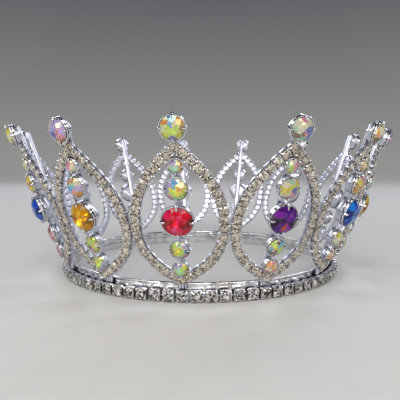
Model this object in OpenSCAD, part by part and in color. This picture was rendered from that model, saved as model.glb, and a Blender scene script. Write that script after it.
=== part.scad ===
// Pageant crown: a plated band with a chain of small stones round its foot, and a ring of
// pointed frames above it, each holding a column of round cut stones in claw settings.
// The origin is the centre of the band's lower edge, +Z is up and the front frame faces -Y.

/* [Crown] */
// Number of pointed frames round the band
frame_count = 13; // [11:1:15]
// Outer radius of the band
band_r = 71.6; // [66:0.2:80]
// Angle by which the frames lean outward from upright
flare = 19.5; // [12:0.5:26]

/* [Band] */
// Height of the band
band_h = 8; // [7:0.25:10]
// Thickness of the band's metal
band_t = 1; // [0.8:0.1:1.5]
// Height of the link strip that the small cups are fixed to
link_h = 1.8; // [1.2:0.1:2.6]
// How far the link strip stands out from the band
link_t = 0.5; // [0.3:0.1:0.8]

/* [Small chain round the foot] */
// Width of a small cup
small_cup_w = 4.9; // [4.2:0.1:5.6]
// Height of a small cup
small_cup_h = 4.9; // [4.2:0.1:5.2]
// Depth of a small cup from its back to its rim
small_cup_depth = 3; // [2.4:0.1:4]
// Least space between two small cups
small_cup_space = 0.85; // [0.6:0.05:1.5]
// Height of the cups' lower edge above the surface the crown stands on
small_cup_lift = 0.3; // [0.1:0.05:0.6]
// Thickness of a small cup's walls and floor
small_wall = 0.25; // [0.2:0.05:0.4]
// Diameter of a small stone
small_stone_d = 4.1; // [3.2:0.1:4.1]

/* [Pointed frames] */
// Width of a frame's arm
arm_w = 4.7; // [4:0.1:5.6]
// Depth of a frame's arm from back to front
arm_depth = 3; // [2.2:0.1:4]
// Spacing of the small cups along an arm
arm_cup_pitch = 4.4; // [3.6:0.1:6]
// Depth of the nick in an arm's edge between two cups
arm_nick = 0.5; // [0.2:0.05:0.8]
// Distance from an arm's foot up to the frame's widest place
frame_low = 27.6; // [24:0.2:32]
// Distance from the widest place up to the arms' apex
frame_high = 29.5; // [26:0.5:34]
// Roundness of the arms below the widest place
round_low = 2.8; // [1.8:0.1:3.2]
// Roundness of the arms above the widest place
round_high = 1.95; // [1.6:0.05:2.6]
// Space between neighbouring frames where they come closest
touch_gap = 0.4; // [0.3:0.05:1]
// Width of the flat strip behind a column of stones
spine_w = 3; // [2:0.1:4]
// Thickness of that strip
spine_t = 1.2; // [0.8:0.1:1.8]
// How far that strip stands out behind the arms
spine_back = 0.5; // [0.3:0.05:0.8]
// Width of the stem that is soldered in front of the band
stem_w = 3.6; // [2.4:0.1:5]
// Thickness of the stem
stem_t = 1.2; // [0.8:0.1:1.6]

/* [Stones] */
// Diameter of the coloured centre stone
centre_d = 12; // [9:0.5:14]
// Diameter of the stone at the tip of a frame
tip_d = 9; // [7:0.5:11]
// Diameter of the stone above the centre stone
upper_d = 8.5; // [6:0.25:9.5]
// Diameter of the small stone under the apex
top_d = 5.3; // [4:0.1:6]
// Diameter of the stone below the centre stone
lower_d = 7.5; // [5:0.25:8.5]
// Diameter of the lowest stone of the column
lowest_d = 6.2; // [4:0.1:7]
// How far the centre stone sits above the frame's widest place
centre_rise = 1; // [-2:0.25:3]
// Space between the settings of the centre stone and of the stone above it
space_upper = 1.25; // [0.5:0.05:2.5]
// Space between the setting of that stone and of the top one
space_top = 0.5; // [0.3:0.05:1.5]
// Space between the settings of the centre stone and of the stone below it
space_lower = 2.1; // [0.5:0.05:3]
// Space between the settings of the two lowest stones
space_lowest = 1.3; // [0.4:0.05:2]

/* [Settings] */
// Wall of a setting round its stone
cup_wall = 0.5; // [0.4:0.05:0.8]
// Height of the claws above the stone's edge
claw_h = 0.9; // [0.5:0.1:1.4]
// Thickness of metal under a stone's point
cup_floor = 0.5; // [0.4:0.05:0.8]
// Length by which the tip's setting laps over the apex
tip_lap = 0.6; // [0.3:0.1:1.5]
// How far a setting's back stands in front of the frame's back face
cup_set = 0.1; // [0:0.05:0.3]

/* [Fits] */
// Space between a stone and the metal that holds it
stone_gap = 0.12; // [0.1:0.01:0.2]
// Space between pieces that are soldered or seated on the band
fit_gap = 0.15; // [0.1:0.01:0.3]

/* [Hidden] */
step = 360 / frame_count;
foot_r = band_r + fit_gap + spine_back;

// Places along a frame, measured up its slope from the band's upper edge
foot_s = arm_w / 2;
widest_s = foot_s + frame_low;
apex_s = widest_s + frame_high;
half_w = slope_r(widest_s) * step / 2 * PI / 180 - arm_w / 2 - touch_gap / 2;
foot_corner = arm_w / 2 / sin(atan(half_w * round_low / frame_low));
apex_corner = arm_w / 2 / sin(atan(half_w * round_high / frame_high));

// Part of the round that one frame may fill, in degrees, which keeps it clear of its neighbours
frame_turn = step - touch_gap / slope_r(widest_s) * 180 / PI;

// Ends of the stem, from just above the chain up to the inner corner of the foot
stem_low = small_cup_lift + small_cup_h + 2 * fit_gap;
stem_high = band_h + (foot_s + foot_corner) * cos(flare);

centre_s = widest_s + centre_rise;
upper_s = centre_s + cup_r(centre_d) + space_upper + cup_r(upper_d);
top_s = upper_s + cup_r(upper_d) + space_top + cup_r(top_d);
lower_s = centre_s - cup_r(centre_d) - space_lower - cup_r(lower_d);
lowest_s = lower_s - cup_r(lower_d) - space_lowest - cup_r(lowest_d);
tip_s = apex_s + apex_corner - tip_lap + cup_r(tip_d);

// Columns: diameter of the stone, its place up the slope
COLUMN = [
    [lowest_d, lowest_s],
    [lower_d, lower_s],
    [centre_d, centre_s],
    [upper_d, upper_s],
    [top_d, top_s],
    [tip_d, tip_s]
];

// Proportions of a round cut stone, as shares of its diameter
TABLE = 0.52;
CROWN = 0.17;
GIRDLE = 0.03;
PAVILION = 0.325;

// Proportions of a small stone of the chain, whose back is cut shallower
SMALL_TABLE = 0.5;
SMALL_CROWN = 0.17;
SMALL_GIRDLE = 0.05;
SMALL_PAVILION = 0.4;

// Radius of a setting's back, and width of the gap between two claws, as shares of its radius
CUP_BACK = 0.6;
CLAW_CUT = 1.1;

// How far a cut runs on past what it cuts
OVER = 1;

small_cup_r = band_r + link_t + fit_gap;
small_cup_count = floor(2 * PI * small_cup_r / (small_cup_w + small_cup_space));
small_cup_z = small_cup_lift + small_cup_h / 2;
small_stone_z = small_wall + stone_gap + small_stone_d * (SMALL_PAVILION + SMALL_GIRDLE / 2);

// Points that measure each half of an arm's length, share of the way over which its direction
// is taken, and the part of a cup's pitch that has the arm's full width
ARM_STEPS = 48;
ARM_NEAR = 0.02;
CUP_FILL = 0.8;

// Order of the centre stones' colours, from the front frame to the viewer's right
COLOURS = [
    "crimson", "indigo", "royalblue", "gold", "crimson", "indigo", "royalblue",
    "gold", "crimson", "indigo", "crimson", "royalblue", "gold"
];

FRAMES = [0 : frame_count - 1];

// Names

function numbered(name, i) = str(name, i < 9 ? "_0" : "_", i + 1);

// Radius of the frames' back face at a distance up their slope
function slope_r(s) = foot_r + s * sin(flare);

// Outer radius of the setting round a stone
function cup_r(d) = d / 2 + stone_gap + cup_wall;

// Height of a stone's edge above the back face of its frame
function seat(d) = spine_t - spine_back + cup_floor + stone_gap + d * (PAVILION + GIRDLE / 2);

// Turns a point about the upright axis
function turned(p, a) = [p.x * cos(a) - p.y * sin(a), p.x * sin(a) + p.y * cos(a), p.z];

// Point p of a stone that sits in a frame's flat middle plane
function in_frame(i, s, d, p) = turned(
    [
        p.x,
        -foot_r - (s + p.y) * sin(flare) - (d + p.z) * cos(flare),
        band_h + (s + p.y) * cos(flare) - (d + p.z) * sin(flare)
    ],
    i * step
);

// Point p of a small cup or stone of the foot chain
function in_chain(j, p) = turned(
    [p.x, -small_cup_r - p.z, small_cup_z + p.y],
    j * 360 / small_cup_count
);

// Ring of n points
function ring(n, r, z) = [for (i = [0 : n - 1]) [r * cos(360 * i / n), r * sin(360 * i / n), z]];

// Round cut stone of diameter d, its edge at z = 0: table, two edges of 16 corners, point
function cut_points(d) = concat(
    ring(8, TABLE * d / 2, (CROWN + GIRDLE / 2) * d),
    ring(16, d / 2, GIRDLE / 2 * d),
    ring(16, d / 2, -GIRDLE / 2 * d),
    [[0, 0, -(PAVILION + GIRDLE / 2) * d]]
);
function cut_faces(b) = concat(
    [[for (i = [7 : -1 : 0]) b + i]],
    [for (i = [0 : 7]) [b + i, b + 8 + 2 * i, b + 8 + (2 * i + 15) % 16]],
    [for (i = [0 : 7]) [b + i, b + 9 + 2 * i, b + 8 + 2 * i]],
    [for (i = [0 : 7]) [b + i, b + (i + 1) % 8, b + 9 + 2 * i]],
    [for (i = [0 : 15]) let (k = (i + 1) % 16) [b + 8 + i, b + 8 + k, b + 24 + k, b + 24 + i]],
    [for (i = [0 : 15]) [b + 24 + i, b + 24 + (i + 1) % 16, b + 40]]
);

// Small stone: table, two edges of 8 corners, point
function small_cut_points(d, table, crown, girdle, pavilion) = concat(
    ring(8, table * d / 2, (crown + girdle / 2) * d),
    ring(8, d / 2, girdle / 2 * d),
    ring(8, d / 2, -girdle / 2 * d),
    [[0, 0, -(pavilion + girdle / 2) * d]]
);
function small_cut_faces(b) = concat(
    [[for (i = [7 : -1 : 0]) b + i]],
    [
        for (r = [b, b + 8], i = [0 : 7])
            let (k = (i + 1) % 8)
            [r + i, r + k, r + 8 + k, r + 8 + i]
    ],
    [for (i = [0 : 7]) [b + 16 + i, b + 16 + (i + 1) % 8, b + 24]]
);
SMALL_CUT_CORNERS = len(small_cut_points(1, TABLE, CROWN, GIRDLE, PAVILION));

// Corners of a rectangle at height z
function corners(w, h, z) = [
    for (c = [[-1, -1], [1, -1], [1, 1], [-1, 1]]) [c.x * w / 2, c.y * h / 2, z]
];

// Small square cup, open at the front: back, front edge, pocket edge, pocket floor
function small_cup_points() = concat(
    corners(small_cup_w, small_cup_h, 0),
    corners(small_cup_w, small_cup_h, small_cup_depth),
    corners(small_cup_w - 2 * small_wall, small_cup_h - 2 * small_wall, small_cup_depth),
    corners(small_cup_w - 2 * small_wall, small_cup_h - 2 * small_wall, small_wall)
);
function small_cup_faces(b) = concat(
    [[b, b + 1, b + 2, b + 3], [b + 15, b + 14, b + 13, b + 12]],
    [
        for (r = [b, b + 4, b + 8], i = [0 : 3])
            let (k = (i + 1) % 4)
            [r + 4 + i, r + 4 + k, r + k, r + i]
    ]
);
SMALL_CUP_CORNERS = len(small_cup_points());

// Middle of an arm at share u of its way, from 0 at the foot to 1 at the widest and 2 at the apex
function arm_share(u) = u <= 1 ? cos(90 * u) : cos(90 * (2 - u));
function arm_x(u) = half_w * (1 - pow(arm_share(u), u <= 1 ? round_low : round_high));
function arm_s(u) = widest_s + arm_share(u) * (u <= 1 ? -frame_low : frame_high);
function arm_at(u) = [arm_x(u), arm_s(u)];

// Length of the arm up to each step, with the share of its way there
function arm_steps(k = 0, length = 0) = (
    k == 2 * ARM_STEPS ? [[length, 2]] :
    concat(
        [[length, k / ARM_STEPS]],
        arm_steps(k + 1, length + norm(arm_at((k + 1) / ARM_STEPS) - arm_at(k / ARM_STEPS)))
    )
);
ARM_TABLE = arm_steps();
arm_length = ARM_TABLE[2 * ARM_STEPS][0];
arm_cup_count = round(arm_length / arm_cup_pitch);

// Point beside the arm's middle: length along the arm, distance outward across it
function beside(length, out) =
    let (
        u = lookup(length, ARM_TABLE),
        a = arm_at(max(u - ARM_NEAR, 0)),
        b = arm_at(min(u + ARM_NEAR, 2)),
        t = (b - a) / norm(b - a)
    )
    arm_at(u) + [t.y, -t.x] * out;

// One edge of an arm, nicked between its cups
function arm_edge(out) = [
    for (c = [0 : arm_cup_count - 1], e = [[0, arm_nick], [(1 - CUP_FILL) / 2, 0], [(1 + CUP_FILL) / 2, 0]])
        if (c + e[0] > 0)
            beside((c + e[0]) * arm_length / arm_cup_count, out * (arm_w / 2 - e[1]))
];

// Point of the bent frame, seen square on in the frame's flat middle plane
function seen(p) =
    let (a = p.x / slope_r(p.y) * 180 / PI, r = slope_r(p.y) + arm_depth / 2 * cos(flare))
    [
        r * sin(a),
        (r * cos(a) - foot_r) * sin(flare) + (p.y * cos(flare) - arm_depth / 2 * sin(flare)) * cos(flare)
    ];
function mirrored(points) = [for (k = [len(points) - 1 : -1 : 0]) [-points[k].x, points[k].y]];

// Outline of the two arms and of the opening between them
function outer_edge() =
    let (side = arm_edge(1))
    concat([[0, foot_s - foot_corner]], side, [[0, apex_s + apex_corner]], mirrored(side));
function inner_edge() =
    let (side = [for (p = arm_edge(-1)) if (p.x > arm_nick) p])
    concat([[0, foot_s + foot_corner]], side, [[0, apex_s - apex_corner]], mirrored(side));

// Shell as deep as an arm, between two cones that lean outward with the frames
module leaning_shell() {
    low = foot_s - foot_corner - arm_w;
    high = apex_s + apex_corner + arm_w;
    out = [arm_depth * cos(flare), -arm_depth * sin(flare)];
    rotate([0, 0, -90 - frame_turn / 2])
        rotate_extrude(angle = frame_turn, $fn = 180)
            polygon([
                slope_point(low),
                slope_point(high),
                slope_point(high) + out,
                slope_point(low) + out
            ]);
}
function slope_point(s) = [slope_r(s), band_h + s * cos(flare)];

// The two arms of a frame, bent round the crown
module arms(i) {
    outer = [for (p = outer_edge()) seen(p)];
    inner = [for (p = inner_edge()) seen(p)];
    intersection() {
        rotate([0, 0, i * step])
            leaning_shell();
        panel(i)
            translate([0, 0, -half_w])
                linear_extrude(2 * half_w)
                    difference() {
                        polygon(outer);
                        polygon(inner);
                    }
    }
}

// Places its children in a frame's flat middle plane: x sideways, y up the slope, z outward
module panel(i) {
    rotate([0, 0, i * step])
        translate([0, -foot_r, band_h])
            rotate([90 + flare, 0, 0])
                children();
}

// Outside of a setting, without its hollow
module cup_body(d) {
    rise = seat(d);
    rotate_extrude($fn = 48)
        polygon([
            [0, cup_set],
            [CUP_BACK * cup_r(d), cup_set],
            [cup_r(d), rise - GIRDLE * d],
            [cup_r(d), rise + claw_h],
            [0, rise + claw_h]
        ]);
}

// Hollow that the stone drops into, with the gaps between the claws
module cup_hollow(d) {
    rise = seat(d);
    inner = d / 2 + stone_gap;
    low = rise - GIRDLE / 2 * d - stone_gap;
    rotate_extrude($fn = 48)
        polygon([
            [0, low - PAVILION * d],
            [inner, low],
            [inner, rise + claw_h + OVER],
            [0, rise + claw_h + OVER]
        ]);
    for (a = [45, 135])
        rotate([0, 0, a])
            translate([-cup_r(d) - OVER, -CLAW_CUT * cup_r(d) / 2, rise + GIRDLE * d / 2])
                cube([2 * (cup_r(d) + OVER), CLAW_CUT * cup_r(d), claw_h + OVER]);
}

module band() {
    color("silver")
        rotate_extrude($fn = 180)
            polygon([
                [band_r - band_t, 0],
                [band_r, 0],
                [band_r, small_cup_z - link_h / 2],
                [band_r + link_t, small_cup_z - link_h / 2],
                [band_r + link_t, small_cup_z + link_h / 2],
                [band_r, small_cup_z + link_h / 2],
                [band_r, band_h],
                [band_r - band_t, band_h]
            ]);
}

module foot_chain_cups() {
    color("silver")
        polyhedron(
            points = [for (j = [0 : small_cup_count - 1], p = small_cup_points()) in_chain(j, p)],
            faces = [for (j = [0 : small_cup_count - 1]) each small_cup_faces(SMALL_CUP_CORNERS * j)]
        );
}

module foot_chain_stones() {
    cut = small_cut_points(small_stone_d, SMALL_TABLE, SMALL_CROWN, SMALL_GIRDLE, SMALL_PAVILION);
    color("lightcyan")
        polyhedron(
            points = [for (j = [0 : small_cup_count - 1], p = cut) in_chain(j, p + [0, 0, small_stone_z])],
            faces = [for (j = [0 : small_cup_count - 1]) each small_cut_faces(SMALL_CUT_CORNERS * j)]
        );
}

// One frame: two arms in a loop, the strip behind the column, six settings and the stem
module frame(i) {
    color("gainsboro")
        difference() {
            union() {
                arms(i);
                rotate([0, 0, i * step])
                    translate([-stem_w / 2, -band_r - fit_gap - stem_t, stem_low])
                        cube([stem_w, stem_t, stem_high - stem_low]);
                panel(i) {
                    translate([-spine_w / 2, 0, -spine_back])
                        cube([spine_w, tip_s + CUP_BACK * cup_r(tip_d), spine_t]);
                    for (c = COLUMN)
                        translate([0, c[1], 0])
                            cup_body(c[0]);
                }
            }
            panel(i)
                for (c = COLUMN)
                    translate([0, c[1], 0])
                        cup_hollow(c[0]);
        }
}

// One stone in a frame's flat middle plane
module cut_stone(i, d, s) {
    polyhedron(points = [for (p = cut_points(d)) in_frame(i, s, seat(d), p)], faces = cut_faces(0));
}

// One row of like stones, one to a frame
module stone_row(d, s) {
    cut = small_cut_points(d, TABLE, CROWN, GIRDLE, PAVILION);
    color("lemonchiffon")
        polyhedron(
            points = [for (i = FRAMES, p = cut) in_frame(i, s, seat(d), p)],
            faces = [for (i = FRAMES) each small_cut_faces(SMALL_CUT_CORNERS * i)]
        );
}

module centre_stone(i) {
    color(COLOURS[i % len(COLOURS)])
        cut_stone(i, centre_d, centre_s);
}

module tip_stone(i) {
    color("lemonchiffon")
        cut_stone(i, tip_d, tip_s);
}

module lowest_stones() {
    stone_row(lowest_d, lowest_s);
}

module lower_stones() {
    stone_row(lower_d, lower_s);
}

module upper_stones() {
    stone_row(upper_d, upper_s);
}

module top_stones() {
    stone_row(top_d, top_s);
}

band();
foot_chain_cups();
foot_chain_stones();
for (i = FRAMES) frame(i);
for (i = FRAMES) centre_stone(i);
for (i = FRAMES) tip_stone(i);
lowest_stones();
lower_stones();
upper_stones();
top_stones();
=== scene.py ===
"""Dresses the pageant crown: plated metal, claw settings, cup chains and cut stones."""

import logging
import math
import random
from collections.abc import Iterable
from dataclasses import dataclass, field
from enum import Enum

import bpy
import numpy as np
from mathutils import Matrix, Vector

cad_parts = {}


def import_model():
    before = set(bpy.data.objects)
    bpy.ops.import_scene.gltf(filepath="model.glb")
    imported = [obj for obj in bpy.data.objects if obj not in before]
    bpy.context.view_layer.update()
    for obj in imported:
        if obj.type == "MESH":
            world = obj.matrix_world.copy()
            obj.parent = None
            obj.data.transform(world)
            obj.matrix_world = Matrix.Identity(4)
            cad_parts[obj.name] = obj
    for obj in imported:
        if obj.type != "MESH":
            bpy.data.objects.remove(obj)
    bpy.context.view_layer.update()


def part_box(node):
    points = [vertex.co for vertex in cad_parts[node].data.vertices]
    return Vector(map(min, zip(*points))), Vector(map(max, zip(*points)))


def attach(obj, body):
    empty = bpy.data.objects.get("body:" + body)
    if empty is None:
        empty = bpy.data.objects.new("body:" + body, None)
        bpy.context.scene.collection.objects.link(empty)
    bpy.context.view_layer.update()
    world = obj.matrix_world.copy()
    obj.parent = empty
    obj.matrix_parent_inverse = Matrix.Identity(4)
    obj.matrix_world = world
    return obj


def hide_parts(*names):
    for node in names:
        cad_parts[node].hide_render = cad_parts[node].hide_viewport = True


LOG = logging.getLogger("crown")
MM = 0.001
SEED = 11

Point = tuple[float, float, float]
Colour = tuple[float, float, float, float]
# Rows of small tables of sizes, with two and with three columns
Pair = tuple[float, float]
Row = tuple[float, float, float]
Material = bpy.types.Material
# What goes into a node: for each socket its value, or the output that it is linked to
Inputs = dict[str | int, object]
WHITE: Colour = (1.0, 1.0, 1.0, 1.0)
# Name of the layer that holds each face's colour, with its painted light, shade and reflections
TINT = "tint"


def linear(code: str) -> Colour:
    """Turns an sRGB hex colour to linear values.

    Args:
        code: Colour as "#rrggbb".

    Returns:
        Linear red, green, blue and an alpha of 1.
    """
    shares = [int(code[k : k + 2], 16) / 255 for k in (1, 3, 5)]
    red, green, blue = (v / 12.92 if v <= 0.04045 else ((v + 0.055) / 1.055) ** 2.4 for v in shares)
    return red, green, blue, 1.0


class Tint(Enum):
    """Colours that the coating on a stone throws back, painted on its facets as fixed reflections;
    patterns name them by their letters.
    """

    SKY = ("S", "#4fb0fa")
    LILAC = ("L", "#bfa0f2")
    VIOLET = ("V", "#4c10c4")
    PINK = ("P", "#f47cac")
    ORANGE = ("O", "#f6962a")
    AMBER = ("A", "#b86e10")
    YELLOW = ("Y", "#f0dc28")
    GREEN = ("G", "#c6e452")
    CREAM = ("C", "#f6ecca")
    WINE = ("W", "#7c1040")
    MINT = ("M", "#a6e2c0")

    @property
    def letter(self) -> str:
        """Letter that patterns name it by."""
        return self.value[0]

    @property
    def colour(self) -> Colour:
        """Its linear colour."""
        return linear(self.value[1])


def pattern(letters: str) -> list[Colour]:
    """Returns the linear colours that letters name: round the crown, then round the table."""
    by_letter = {tint.letter: tint.colour for tint in Tint}
    return [by_letter[letter] for letter in letters]


def mixed(colour: Colour, share: float, other: float = 1.0) -> Colour:
    """Returns a colour mixed with a share of a grey, which is 1 for white and 0 for black."""
    red, green, blue = (c + (other - c) * share for c in colour[:3])
    return red, green, blue, 1.0


@dataclass(frozen=True)
class StoneSpot:
    """One stone of a column: its name, diameter and the space between its setting and the last."""

    name: str
    diameter: float
    space: float = 0.0


CENTRE = StoneSpot("centre", 12.0)
UPPER = StoneSpot("upper", 8.5, 1.25)
TOP = StoneSpot("top", 5.3, 0.5)
LOWER = StoneSpot("lower", 7.5, 2.1)
LOWEST = StoneSpot("lowest", 6.2, 1.3)
TIP = StoneSpot("tip", 9.0)


@dataclass(frozen=True)
class CrownForm:
    """Sizes of the crown in millimetres, the same as its solids have."""

    band_r: float
    frame_count: int = 13
    flare: float = math.radians(19.5)
    band_h: float = 8.0
    band_t: float = 1.0
    link_t: float = 0.5
    chain_cup_w: float = 4.9
    chain_cup_depth: float = 3.0
    chain_cup_space: float = 0.85
    chain_lift: float = 0.3
    arm_w: float = 4.7
    frame_low: float = 27.6
    frame_high: float = 29.5
    round_low: float = 2.8
    round_high: float = 1.95
    touch_gap: float = 0.4
    spine_w: float = 3.0
    spine_t: float = 1.2
    spine_back: float = 0.5
    stem_w: float = 3.6
    stem_t: float = 1.2
    cup_wall: float = 0.5
    cup_floor: float = 0.5
    cup_set: float = 0.1
    tip_lap: float = 0.6
    stone_gap: float = 0.12
    fit_gap: float = 0.15
    centre_rise: float = 1.0

    @property
    def step(self) -> float:
        """Angle from one frame to the next, in radians."""
        return 2 * math.pi / self.frame_count

    @property
    def foot_r(self) -> float:
        """Radius of the frames' back face at the band's upper edge."""
        return self.band_r + self.fit_gap + self.spine_back

    @property
    def foot_s(self) -> float:
        """Distance up the slope to the middle of the arms' foot."""
        return self.arm_w / 2

    @property
    def widest_s(self) -> float:
        """Distance up the slope to a frame's widest place."""
        return self.foot_s + self.frame_low

    @property
    def apex_s(self) -> float:
        """Distance up the slope to the middle of the arms' apex."""
        return self.widest_s + self.frame_high

    @property
    def half_w(self) -> float:
        """Half width of a frame to the middle of its arms."""
        return self.slope_r(self.widest_s) * self.step / 2 - self.arm_w / 2 - self.touch_gap / 2

    @property
    def chain_r(self) -> float:
        """Radius of the back of the foot chain's cups."""
        return self.band_r + self.link_t + self.fit_gap

    @property
    def chain_count(self) -> int:
        """Number of cups in the foot chain, a whole number for each frame."""
        share = 2 * math.pi * self.chain_r / self.frame_count
        return self.frame_count * math.floor(share / (self.chain_cup_w + self.chain_cup_space))

    def slope_r(self, s: float) -> float:
        """Returns the radius of the frames' back face at a distance up their slope."""
        return self.foot_r + s * math.sin(self.flare)

    def cup_r(self, spot: StoneSpot) -> float:
        """Returns the outer radius of the setting round a stone."""
        return spot.diameter / 2 + self.stone_gap + self.cup_wall

    def corner(self, roundness: float, height: float) -> float:
        """Returns how far two arms' outer edges meet beyond their middles, along the frame."""
        return self.arm_w / 2 / math.sin(math.atan(self.half_w * roundness / height))

    def spots(self) -> dict[StoneSpot, float]:
        """Places the stones of a column, each against the last.

        Returns:
            The distance up the slope of each.
        """
        centre = self.widest_s + self.centre_rise
        upper = centre + self.cup_r(CENTRE) + UPPER.space + self.cup_r(UPPER)
        lower = centre - self.cup_r(CENTRE) - LOWER.space - self.cup_r(LOWER)
        apex = self.apex_s + self.corner(self.round_high, self.frame_high)
        return {
            LOWEST: lower - self.cup_r(LOWER) - LOWEST.space - self.cup_r(LOWEST),
            LOWER: lower,
            CENTRE: centre,
            UPPER: upper,
            TOP: upper + self.cup_r(UPPER) + TOP.space + self.cup_r(TOP),
            TIP: apex - self.tip_lap + self.cup_r(TIP),
        }

    def arm_at(self, u: float) -> tuple[float, float]:
        """Middle of an arm at a share of its way.

        Args:
            u: 0 at the foot, 1 at the widest place and 2 at the apex.

        Returns:
            Distance sideways along the bent frame, and distance up the slope.
        """
        low = u <= 1
        share = math.cos(math.pi / 2 * (u if low else 2 - u))
        side = self.half_w * (1 - share ** (self.round_low if low else self.round_high))
        return side, self.widest_s + share * (-self.frame_low if low else self.frame_high)

    def on_shell(self, x: float, s: float, z: float = 0.0) -> np.ndarray:
        """Point of the bent front frame.

        Args:
            x: Distance sideways along the bend.
            s: Distance up the slope.
            z: Distance outward from the frame's back face.

        Returns:
            The point in millimetres.
        """
        angle = x / self.slope_r(s)
        radius = self.slope_r(s) + z * math.cos(self.flare)
        height = self.band_h + s * math.cos(self.flare) - z * math.sin(self.flare)
        return np.array([radius * math.sin(angle), -radius * math.cos(angle), height])

    def panel(self) -> np.ndarray:
        """Plane of the front frame's middle.

        Returns:
            The matrix, with x sideways, y up the slope and z outward.
        """
        low, high = math.sin(self.flare), math.cos(self.flare)
        matrix = np.eye(4)
        matrix[:3, 1] = 0, -low, high
        matrix[:3, 2] = 0, -high, -low
        matrix[:3, 3] = 0, -self.foot_r, self.band_h
        return matrix


@dataclass(frozen=True)
class Cut:
    """Proportions of a round cut stone, as shares of its diameter."""

    table: float = 0.52
    crown: float = 0.17
    girdle: float = 0.03
    pavilion: float = 0.325
    star: float = 0.74
    half: float = 0.55

    def seat(self, form: CrownForm, spot: StoneSpot) -> float:
        """Returns the height of a stone's edge above the back face of its frame."""
        floor = form.spine_t - form.spine_back + form.cup_floor + form.stone_gap
        return floor + spot.diameter * (self.pavilion + self.girdle / 2)


ROUND_CUT = Cut()
SMALL_CUT = Cut(table=0.5, girdle=0.05, pavilion=0.36)


@dataclass
class Shape:
    """Corners and faces of one small form, in millimetres."""

    points: np.ndarray
    faces: list[tuple[int, ...]]
    slots: list[int] = field(default_factory=list)
    tints: list[Colour] = field(default_factory=list)

    def flipped(self) -> "Shape":
        """Returns the form with its faces turned the other way out."""
        return Shape(self.points, [tuple(reversed(face)) for face in self.faces])


def ring(count: int, radius: float, height: float, turn: float = 0.0) -> list[Point]:
    """Returns points on a circle, anticlockwise, the first turned by a share of a step."""
    angles = [2 * math.pi * (k + turn) / count for k in range(count)]
    return [(radius * math.cos(a), radius * math.sin(a), height) for a in angles]


def rounded_ring(half_x: float, half_y: float, corner: float, height: float) -> list[Point]:
    """Points on a rectangle with round corners.

    Args:
        half_x: Half of its width.
        half_y: Half of its length.
        corner: Radius of its corners.
        height: Height of the ring.

    Returns:
        Three points for each corner.
    """
    points: list[Point] = []
    for quarter in range(4):
        middle = math.pi / 4 + quarter * math.pi / 2
        across = math.copysign(half_x - corner, math.cos(middle))
        along = math.copysign(half_y - corner, math.sin(middle))
        for k in (-1, 0, 1):
            a = middle + k * math.pi / 4
            points.append((across + corner * math.cos(a), along + corner * math.sin(a), height))
    return points


def diamond_ring(count: int, radius: float, height: float, sharp: float) -> list[Point]:
    """Points on a round diamond whose corners lie on the x and y axes.

    Args:
        count: Number of points.
        radius: Radius to its corners.
        height: Height of the ring.
        sharp: 0 for a circle and 1 for straight sides.

    Returns:
        The points, anticlockwise from above.
    """
    points: list[Point] = []
    for x, y, z in ring(count, 1.0, height):
        out = radius / (abs(x) + abs(y)) ** sharp
        points.append((out * x, out * y, z))
    return points


def loft(rings: list[list[Point]], closed: bool = True) -> Shape:
    """Skins a row of rings that have as many points each.

    Args:
        rings: The rings, each anticlockwise seen from the last one.
        closed: Whether both ends are closed.

    Returns:
        The skinned shape.
    """
    n = len(rings[0])
    faces: list[tuple[int, ...]] = []
    for r in range(len(rings) - 1):
        for k in range(n):
            a, b = r * n + k, r * n + (k + 1) % n
            faces.append((a, b, b + n, a + n))
    if closed:
        faces.append(tuple(reversed(range(n))))
        faces.append(tuple(range((len(rings) - 1) * n, len(rings) * n)))
    return Shape(np.array([p for one in rings for p in one], float), faces)


def finger(path: list[tuple[float, float, float, float]], sides: int = 6) -> Shape:
    """Bar with an oval section that follows a path in the x-z plane.

    Args:
        path: Stations as x, z, width and thickness.
        sides: Points round the section.

    Returns:
        The bar, closed at both ends.
    """
    rings = []
    for k, (x, z, width, thick) in enumerate(path):
        before, after = path[max(k - 1, 0)], path[min(k + 1, len(path) - 1)]
        way = np.array([after[0] - before[0], after[1] - before[1]])
        way /= np.linalg.norm(way)
        section = []
        for j in range(sides):
            a = 2 * math.pi * j / sides
            out = math.cos(a) * thick / 2
            section.append((x + way[1] * out, math.sin(a) * width / 2, z - way[0] * out))
        rings.append(section)
    return loft(rings)


def turned(angle: float, axis: int = 2) -> np.ndarray:
    """Turn about one axis.

    Args:
        angle: Angle in radians.
        axis: 0, 1 or 2 for x, y or z.

    Returns:
        The matrix.
    """
    a, b = (axis + 1) % 3, (axis + 2) % 3
    matrix = np.eye(4)
    matrix[a, a] = matrix[b, b] = math.cos(angle)
    matrix[b, a] = math.sin(angle)
    matrix[a, b] = -math.sin(angle)
    return matrix


def moved(x: float, y: float, z: float) -> np.ndarray:
    """Move along the axes.

    Args:
        x: Move along x.
        y: Move along y.
        z: Move along z.

    Returns:
        The matrix.
    """
    matrix = np.eye(4)
    matrix[:3, 3] = x, y, z
    return matrix


def new_object(name: str, data: bpy.types.ID) -> bpy.types.Object:
    """Adds an object to the scene.

    Args:
        name: Its name.
        data: Its mesh, light or camera.

    Returns:
        The object.
    """
    item = bpy.data.objects.new(name, data)
    bpy.context.scene.collection.objects.link(item)
    return item


# Angle between faces from which an edge of the metal looks sharp
SHARP_FROM = math.radians(38)


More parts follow.
